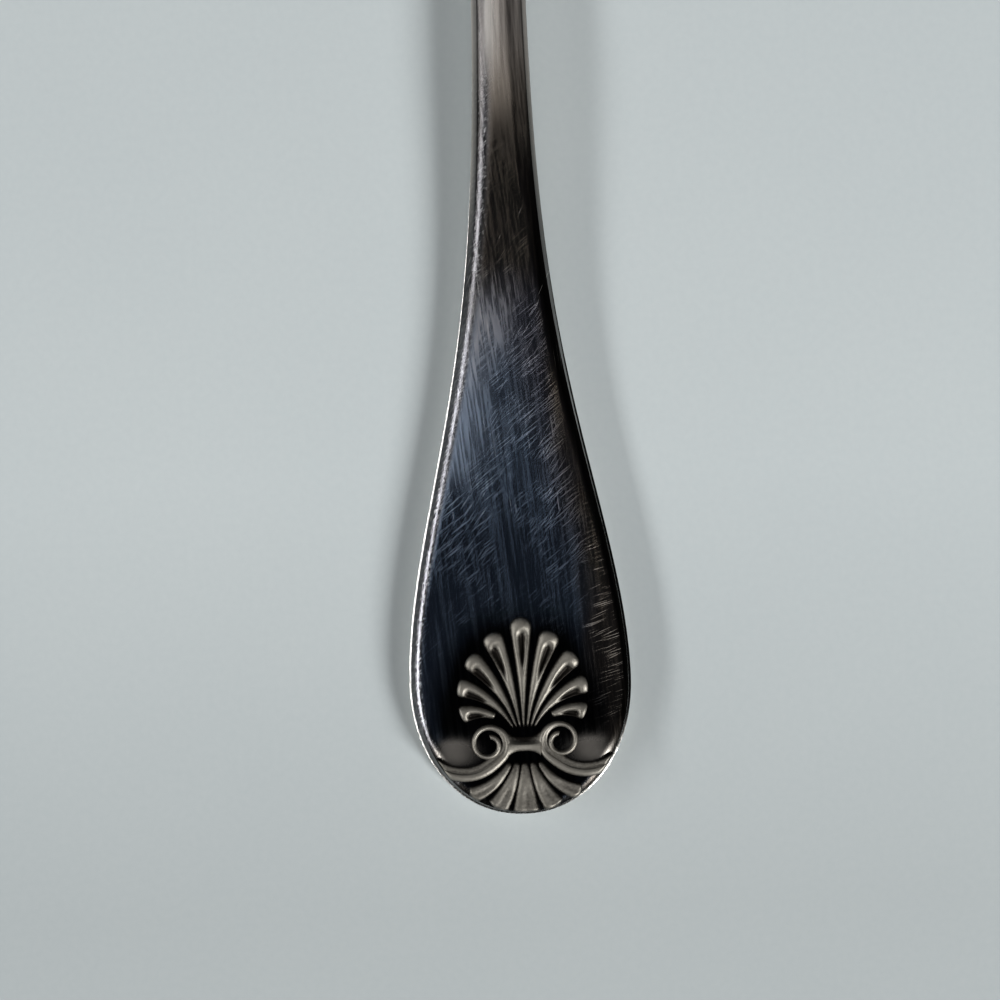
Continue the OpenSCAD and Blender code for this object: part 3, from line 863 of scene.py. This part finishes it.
def blade_tree():
    tree, s = start_tree("blade", blade_sizes)
    sheet, across, along, _ = sheets(tree, BLADE_COLUMNS, BLADE_ROWS)
    opened = share_of(along, 0, FIRST_ROW)
    share = 1 - (1 - share_of(along, FIRST_ROW, 1)) ** TIP_CROWDING
    y = share * s.length
    heel = ease(y / s.heel_length)
    belly = (s.edge_reach + s.tip_reach) * root(1 - share ** BELLY_POWER) - s.tip_reach
    edge = -between(s.neck_half, belly, heel)
    dip = sin(math.pi * share * share)
    spine = between(s.neck_half, between(s.spine_reach, s.tip_reach, share), heel)
    spine = spine - s.spine_hollow * dip * dip
    width = spine - edge
    depth = between(s.thickness, s.tip_thickness, share_of(y, s.tongue, s.length))
    turn = abs(2 * across - 1)
    away = width * (1 - cos(math.pi * turn)) / 2
    lip = between(depth, s.edge_thickness, heel) / 2
    bevel = s.bevel.math("MINIMUM", width / 2)
    ground = lip + (depth / 2 - lip) * (1 - (1 - clamp(away / bevel)) ** GRIND_POWER)
    spine_round = 1 - clamp((width - away) / s.spine_round)
    edge_round = 1 - clamp(away / lip)
    half = ground * root(1 - spine_round * spine_round) * root(1 - edge_round * edge_round)
    x = edge + between(width / 2, away, opened)
    z = depth / 2 + opened * half * (2 * across - 1).math("SIGN")
    steel = moved(sheet, point(x, y + STEM_REACH, z))
    tang_length = TANG_LENGTH + CUT_PAST
    tang = block(tree, (TANG_WIDTH, tang_length, TANG_THICKNESS - 2 * OFF_PLANE),
                 (0, blade_low.y + tang_length / 2, TANG_THICKNESS / 2))
    whole = Wire.node(tree, "GeometryNodeMeshBoolean", {"operation": "UNION", "solver": "MANIFOLD"})
    for part in (steel, tang):
        tree.links.new(part.socket, whole.socket.node.inputs["Mesh 2"])
    return finish_tree(without(whole, rods(tree, RIVET_RADIUS + RIVET_ROOM)), blade_plate)


make_piece("blade_ground", blade_tree(), blade_sizes, "blade_plate", "blade")

# %% [markdown]
# ## The rivets
# Two pins fill the bores, and their ends are filed almost flush, so only a faint round shows. One turned
# profile is copied to both places.

# %% Turned rivets
rivet_sizes = dict(radius=RIVET_RADIUS, length=STEM_THICKNESS, crown=0.05 * MM, first=RIVET_PLACES[0],
                   spacing=RIVET_PLACES[1] - RIVET_PLACES[0])
SIDE_START, SIDE_END = 0.4, 0.6


def rivet_tree():
    tree, s = start_tree("rivets", rivet_sizes)
    sheet, across, along, copy = sheets(tree, columns=41, rows=25, copies=len(RIVET_PLACES))
    turn = across * FULL
    top = share_of(along, SIDE_END, 1)
    radius = s.radius * share_of(along, 0, SIDE_START) * cos(top * QUARTER)
    z = s.length * share_of(along, SIDE_START, SIDE_END) + s.crown * sin(top * QUARTER)
    place = point(radius * cos(turn), s.first + copy * s.spacing + radius * sin(turn), z)
    return finish_tree(moved(sheet, place), blade_plate)


make_piece("rivets_filed", rivet_tree(), rivet_sizes, "blade_plate", "rivets")

# %% [markdown]
# ## The relief
# The ornament stands on the flat face and, at the end, runs out over the shoulder to the very rim. Every
# element is a ribbon: a path, a width and a height along it, and a section with its own crest and hollow.
# The underside of each ribbon is sunk a little into the handle, so no gap shows.

# %% Ribbons on the face
FACE = END_THICKNESS
SINK = 0.06 * MM
TOP_SHARE = 0.75
END_HALF, END_ROUND = handle_sizes["end_half"], handle_sizes["end_round"]
SHOULDER_WIDTH = handle_sizes["shoulder_width"]
SHOULDER_DROP = handle_sizes["shoulder_fall"] * SHOULDER_WIDTH
STRIKE_OFFSET = 0.15 * MM
SIDE_TRIM, TIP_TRIM = 0.5 * MM, 0.3 * MM
LIP_WIDTH = 0.3 * MM
FEATHER = 0.05 * MM
NEAR_ZERO = 0.001
RELIEF_CREASE = 70


def section_of(across):
    """Place across a ribbon, from -1 to 1 over the top and back below, and 1 on top or 0 below."""
    place = 2 * share_of(across, 0, TOP_SHARE) - 2 * share_of(across, TOP_SHARE, 1) - 1
    return place, across < TOP_SHARE + NEAR_ZERO


def inside_of(x, y, side_trim=0, tip_trim=0):
    """Share of the way from the middle of the rounded end to its outline, and the distance left to it."""
    wide, tall = END_HALF - side_trim, END_ROUND - tip_trim
    out = (abs(x / wide) ** END_FULLNESS + abs(y / tall) ** END_FULLNESS) ** (1 / END_FULLNESS)
    out = out.math("MAXIMUM", NEAR_ZERO)
    return out, root(x * x + y * y) * (1 / out - 1)


def on_face(x, v, height, top):
    """A place on the handle, v up from its tip. Ribbons are cut off near the rim and round down there."""
    y = v - END_ROUND
    below = y < 0
    out, _ = inside_of(x, y * below, SIDE_TRIM, TIP_TRIM)
    back = (1 / out).math("MINIMUM", 1)
    x = x * back
    y = y * between(1, back, below)
    _, to_cut = inside_of(x, y * below, SIDE_TRIM, TIP_TRIM)
    x = x + STRIKE_OFFSET
    _, to_rim = inside_of(x, y * below)
    slant_share = between(RIGHT_SLANT, 1, ease(-x / END_HALF))
    side_width = handle_sizes["lip"] + handle_sizes["slant"] * slant_share
    slope = 1 - clamp((to_rim - side_width) / SHOULDER_WIDTH)
    ground = FACE - SHOULDER_DROP * slope * slope
    lip = 1 - clamp(to_cut / LIP_WIDTH)
    level = (FACE - ground) * root(1 - lip * lip)
    z = ground - SINK + top * (height + SINK + level) * clamp(height / FEATHER)
    return point(x, y, z)


def dome(place, power):
    """A round back, 1 in the middle and 0 at both sides. A smaller power is flatter."""
    return (1 - place * place).math("MAXIMUM", 0) ** power


def finish_ribbon(sheet, spot, relief, flipped=False):
    """Ends a ribbon's tree: its points store how high they stand, and its faces look outwards."""
    ribbon = moved(store(sheet, "relief", relief), spot)
    ribbon = Wire.node(sheet.tree, "GeometryNodeFlipFaces", {}, {"Mesh": ribbon, "Selection": flipped})
    return finish_tree(ribbon, relief_plate)


def strike(node, tree, sizes):
    make_piece(node + "_struck", tree, sizes, "relief_plate", node, crease=RELIEF_CREASE)


print("ribbons are sunk by", SINK / MM, "mm")

# %% [markdown]
# ### The palmette
# Nine petals spring from one place. Each is an arc that bends outwards, narrow at its foot and full near
# its tip. Under the thick pad of its head lies a hollow like a spoon's. The middle petal's hollow has two
# equal rims. The further out a petal lies, the more its hollow moves to the outer side and leaves one thick
# ridge.

# %% Nine petals
PETAL_PAIRS = 4
palmette_sizes = dict(
    base=7.6 * MM, length=9.65 * MM, shortening=0.9 * MM, crowding=0.1 * MM, angle=math.radians(15.9),
    spread=math.radians(0.16), width=1.98 * MM, foot=0.3 * MM, height=0.6 * MM, lowest_start=0.34,
    hollow=0.9)
SWELL = 0.9
LEAST_BEND = 0.0005
FOOT_ROUND = 0.03
PETAL_CROWDING = 1.6
PETAL_GROWTH = 1.35


def leaf_path(foot_x, foot_v, chord, angle, share, way=1):
    """A point of an arc that bends outwards by the angle of its chord, and the direction there."""
    half = angle / 2 + LEAST_BEND
    reach = chord * sin(half * share) / sin(half)
    lean = half + half * share
    return foot_x + reach * sin(lean), foot_v + way * reach * cos(lean), half + 2 * half * share


def palmette_tree():
    tree, s = start_tree("palmette", palmette_sizes)
    sheet, across, along, copy = sheets(tree, columns=49, rows=61, copies=2 * PETAL_PAIRS + 1)
    number = copy - PETAL_PAIRS
    rank = abs(number)
    place, top = section_of(across)
    start = s.lowest_start * (rank > PETAL_PAIRS - 0.5)
    share = between(start, 1, 1 - (1 - along) ** PETAL_CROWDING)
    chord = s.length - rank * s.shortening - rank * rank * s.crowding
    angle = number * (s.angle + rank * rank * s.spread)
    x, v, heading = leaf_path(number * s.foot, s.base, chord, angle, share)
    growth = clamp(share / SWELL) ** PETAL_GROWTH
    tip = share_of(share, SWELL, 1)
    ends = root(1 - tip ** (2.1 + 0.6 * rank)) * root(clamp(along / FOOT_ROUND))
    half = between(s.foot * 0.85, s.width * (chord / s.length) ** 0.3, growth) / 2 * ends
    outer = number.math("SIGN") + (rank < 0.5)
    spread = between(0.2, 0.45, rising(share, 0.45, 0.8))
    spoon = bump_at(place * outer, 0.08 + (rank * 0.2).math("MINIMUM", 0.45), spread)
    reach = rising(share, 0.46, 0.66) * (1 - rising(share, 0.81, 0.91))
    rise = between(0.5, 1, ease(share / SWELL))
    height = s.height * rise * dome(place, 0.6) * ends * (1 - s.hollow * spoon * reach)
    x = x + half * place * cos(heading)
    v = v - half * place * sin(heading)
    return finish_ribbon(sheet, on_face(x, v, height, top), top * height / s.height)


strike("palmette", palmette_tree(), palmette_sizes)

# %% [markdown]
# ### The lower fan
# Five lobes spread down to the rim like a shell. They are wedges rather than petals: so wide at the rim
# that only a groove parts them, with a shallow flute along the middle. They run a little past the rim,
# where on_face cuts them off.

# %% Five lobes
LOBE_PAIRS = 2
fan_sizes = dict(base=4.7 * MM, angle=math.radians(26), width=2.5 * MM, narrowing=0.18, foot=0.62 * MM,
                 height=0.5 * MM, flute=0.3)
PAST_RIM = 1.03
LOBE_TIP = 0.93
LOBE_CROWDING = 1.8


def fan_tree():
    tree, s = start_tree("base_fan", fan_sizes)
    sheet, across, along, copy = sheets(tree, columns=41, rows=45, copies=2 * LOBE_PAIRS + 1)
    number = copy - LOBE_PAIRS
    place, top = section_of(across)
    share = 1 - (1 - along) ** LOBE_CROWDING
    foot_x = number * s.foot
    lean = number * s.angle
    wide, tall = END_HALF - SIDE_TRIM, END_ROUND - TIP_TRIM
    from_x, from_y = foot_x / wide, (END_ROUND - s.base) / tall
    step_x, step_y = sin(lean) / wide, cos(lean) / tall
    steps = step_x * step_x + step_y * step_y
    along_ray = from_x * step_x + from_y * step_y
    outside = from_x * from_x + from_y * from_y - 1
    chord = PAST_RIM * (root(along_ray * along_ray - steps * outside) - along_ray) / steps
    x, v, heading = leaf_path(foot_x, s.base, chord, lean, share, way=-1)
    tip = share_of(share, LOBE_TIP, 1)
    ends = root(1 - tip * tip) * root(clamp(along / FOOT_ROUND))
    half = between(s.foot * 0.8, s.width * (1 - s.narrowing * abs(number)), share ** 0.9) / 2 * ends
    flute = s.flute * bump_at(place, 0.1, 0.45) * rising(share, 0.3, 0.7)
    height = s.height * between(0.6, 1, ease(share * 2)) * dome(place, 0.5) * ends * (1 - flute)
    x = x + half * place * cos(heading)
    v = v + half * place * sin(heading)
    return finish_ribbon(sheet, on_face(x, v, height, top), 0.8 * top * height / s.height, flipped=True)


strike("base_fan", fan_tree(), fan_sizes)

# %% [markdown]
# ### The scrolls
# A scroll is a band that winds out of the eye of its volute as a thin wire, widens beside the bar and
# sweeps along the rim as a broad, channelled arm. The outer edge is the path: a spiral that runs into a
# curve with two bends. The band lies on its inner side. The die was cut by hand, so the left scroll sits a
# little lower than the right one.

# %% Two scrolls
SPIRAL_SHARE = 0.66
scroll_sizes = dict(
    side=1, centre_x=3.15 * MM, centre_v=6.4 * MM, eye=0.86 * MM, pitch=0.88 * MM, start=math.radians(90),
    turn=math.radians(490), leave=2.1 * MM, arrive=4.6 * MM, end_x=9.1 * MM, end_v=5.0 * MM,
    end_slope=math.radians(44), inside=0.976, wire=0.46 * MM, band=1.35 * MM, taper=0.2, height=0.55 * MM)
left_sizes = {**scroll_sizes, "side": -1, "centre_x": 3.05 * MM, "centre_v": 6.25 * MM, "leave": 2.5 * MM}


def scroll_edge(s, share):
    """Outer edge of the right scroll, from the eye to the rim."""
    wound = share_of(share, 0, SPIRAL_SHARE) * s.turn
    angle = s.start + wound
    radius = s.eye + s.pitch * wound / FULL
    swept = share_of(share, SPIRAL_SHARE, 1)
    last = s.start + s.turn
    last_radius = s.eye + s.pitch * s.turn / FULL
    from_x, from_v = s.centre_x + last_radius * cos(last), s.centre_v + last_radius * sin(last)
    first_weight = 3 * swept * (1 - swept) * (1 - swept)
    second_weight = 3 * swept * swept * (1 - swept)
    last_weight = swept * swept * swept
    gone_x, gone_v = s.end_x - from_x, s.end_v - from_v
    x = (s.centre_x + radius * cos(angle) - first_weight * s.leave * sin(last)
         + second_weight * (gone_x - s.arrive * cos(s.end_slope)) + last_weight * gone_x)
    v = (s.centre_v + radius * sin(angle) + first_weight * s.leave * cos(last)
         + second_weight * (gone_v - s.arrive * sin(s.end_slope)) + last_weight * gone_v)
    return x, v


def edge_frame(s, share):
    """A point of the scroll's outer edge, and the direction to its inner side."""
    x, v = scroll_edge(s, share)
    run_x, run_v = run_of(scroll_edge, s, share)
    run = root(run_x * run_x + run_v * run_v)
    return x, v, -run_v / run, run_x / run


def scroll_tree():
    tree, s = start_tree("scroll", scroll_sizes)
    sheet, across, along, _ = sheets(tree, columns=45, rows=221)
    place, top = section_of(across)
    share = along * s.inside
    x, v, in_x, in_v = edge_frame(s, share)
    widening = 0.75 * rising(share, 0.42, 0.72) + 0.25 * rising(share, 0.62, 0.74)
    width = between(s.wire, s.band, widening) * (1 - s.taper * rising(share, 0.85, 1))
    channel = 0.3 * ease((width - 1.3 * s.wire) / s.wire) * bump_at(place, 0.2, 0.45)
    ends = root(clamp(along / 0.015)) * root(clamp((1 - along) / 0.004))
    height = s.height * dome(place, 0.45) * (1 - channel) * (1 - 0.2 * widening * (place > 0)) * ends
    inwards = width * ends * (place + 1) / 2
    spot = on_face(s.side * (x + in_x * inwards), v + in_v * inwards, height, top)
    return finish_ribbon(sheet, spot, top * height / s.height, flipped=s.side > 0)


strike("scroll_right", scroll_tree(), scroll_sizes)
strike("scroll_left", scroll_tree(), left_sizes)

# %% [markdown]
# ### The tie bar
# A short waisted bar ties the volutes together. It has a rounded crest below and a hollow above, like a
# small moulding.

# %% Waisted bar
bar_sizes = dict(centre_v=6.2 * MM, reach=1.48 * MM, half=0.64 * MM, flare=1.2 * MM,
                 height=0.55 * MM, hollow=0.65)


def bar_tree():
    tree, s = start_tree("tie_bar", bar_sizes)
    sheet, across, along, _ = sheets(tree, columns=41, rows=41)
    place, top = section_of(across)
    end = 2 * along - 1
    ends = root(clamp((1 - abs(end)) / 0.05))
    half = between(s.half, s.flare, abs(end * end * end)) * ends
    hollow = s.hollow * rising(place, -0.15, 0.45) * (1 - 0.6 * end * end)
    height = s.height * dome(place, 0.45) * (1 - hollow) * ends
    spot = on_face(s.reach * end, s.centre_v + half * place, height, top)
    return finish_ribbon(sheet, spot, top * height / s.height, flipped=True)


strike("tie_bar", bar_tree(), bar_sizes)

# %% [markdown]
# ## The table
# The knife lies on a plain pale floor, faintly mottled and a little darker towards the front. The floor is
# set just below the knife, so that no two faces share a plane.

# %% Floor
FLOOR_SIZE = 3
FLOOR_DROP = 0.02 * MM
GREY_STONE = (0.47, 0.517, 0.528, 1)
PALE_STONE = (0.554, 0.595, 0.595, 1)
FRONT_SHADE = (0.12, 0.13, 0.13, 1)

corner = FLOOR_SIZE / 2
floor_corners = [(-corner, -corner, 0), (corner, -corner, 0), (corner, corner, 0), (-corner, corner, 0)]
floor_mesh = bpy.data.meshes.new("floor")
floor_mesh.from_pydata(floor_corners, [], [(0, 1, 2, 3)])
floor = bpy.data.objects.new("floor", floor_mesh)
scene.collection.objects.link(floor)
floor.location.z = -FLOOR_DROP
floor_material, floor_surface, floor_place = new_material("pale_floor")
broad = cloudy(floor_place, (0.03, 0.03, 0.03), detail=5)
speckled = cloudy(floor_place, (1.6, 1.6, 1.6), detail=4)
floor_colour = (0.5 * broad + 0.5 * speckled).tint(GREY_STONE, PALE_STONE)
near = 1 - share_of(floor_place.parts()[1], -20, 18)
link((0.25 * near).tint(floor_colour, FRONT_SHADE), floor_surface, "Base Color")
floor_surface.inputs["Roughness"].default_value = 0.9
floor_surface.inputs["Specular IOR Level"].default_value = 0.1
floor_mesh.materials.append(floor_material)
print("floor", FLOOR_SIZE, "m wide")

# %% [markdown]
# ## The light
# Two soft lamps light the knife, a strong one from the front right and a long, low one from the left, so it
# has a shadow on each side and a bright line along its left shoulder. Straight above it is dark, because
# polished metal mirrors what is there. A dim panel over the blade's end lights the top of the arched stem,
# and the room is a little brighter near the horizon and on the left.

# %% Lamps and the room
DARK_ROOM = (0.012, 0.013, 0.016, 1)
DIM_WALL = (0.12, 0.13, 0.14, 1)


def lamp(name, place, width, height, share, facing=None):
    """A soft lamp that gives its share of the light in which a floor shows its own colour."""
    data = bpy.data.lights.new(name, "AREA")
    data.shape = "RECTANGLE"
    data.size, data.size_y = width, height
    back = (facing or place).normalized()
    slant = back.dot(place.normalized()) * place.normalized().z
    data.energy = share * math.pi**2 * place.length_squared / slant
    made = bpy.data.objects.new(name, data)
    made.location = place
    made.rotation_euler = back.to_track_quat("Z", "Y").to_euler()
    scene.collection.objects.link(made)
    print(name, round(data.energy, 2), "W")


def from_above(azimuth, zenith, distance):
    """A place at this distance, so many degrees round from +X and down from straight above."""
    around, down = math.radians(azimuth), math.radians(zenith)
    sideways = math.sin(down)
    return distance * Vector((sideways * math.cos(around), sideways * math.sin(around), math.cos(down)))


lamp("front_right_lamp", from_above(azimuth=-43, zenith=63, distance=1.2),
     width=0.32, height=0.32, share=0.64)
lamp("left_lamp", from_above(azimuth=193, zenith=64, distance=1.2),
     width=1.3, height=0.16, share=0.35)
lamp("back_panel", Vector((-0.3, 0.39, 0.8)),
     width=0.9, height=0.6, share=0.125, facing=Vector((0, 0, 1)))

world = bpy.data.worlds.new("room")
scene.world = world
world.use_nodes = True
room = world.node_tree
right, _, up = Wire.node(room, "ShaderNodeTexCoord", output="Generated").parts()
brightness = ease(1 - clamp(up / 0.6)) * (0.25 + 0.75 * ease((0.2 - right) / 0.8))
room_colour = brightness.tint(DARK_ROOM, DIM_WALL)
room.links.new(room_colour.socket, room.nodes["Background"].inputs["Color"])

# %% [markdown]
# The dressed knife has to stay in the box of the solid one.
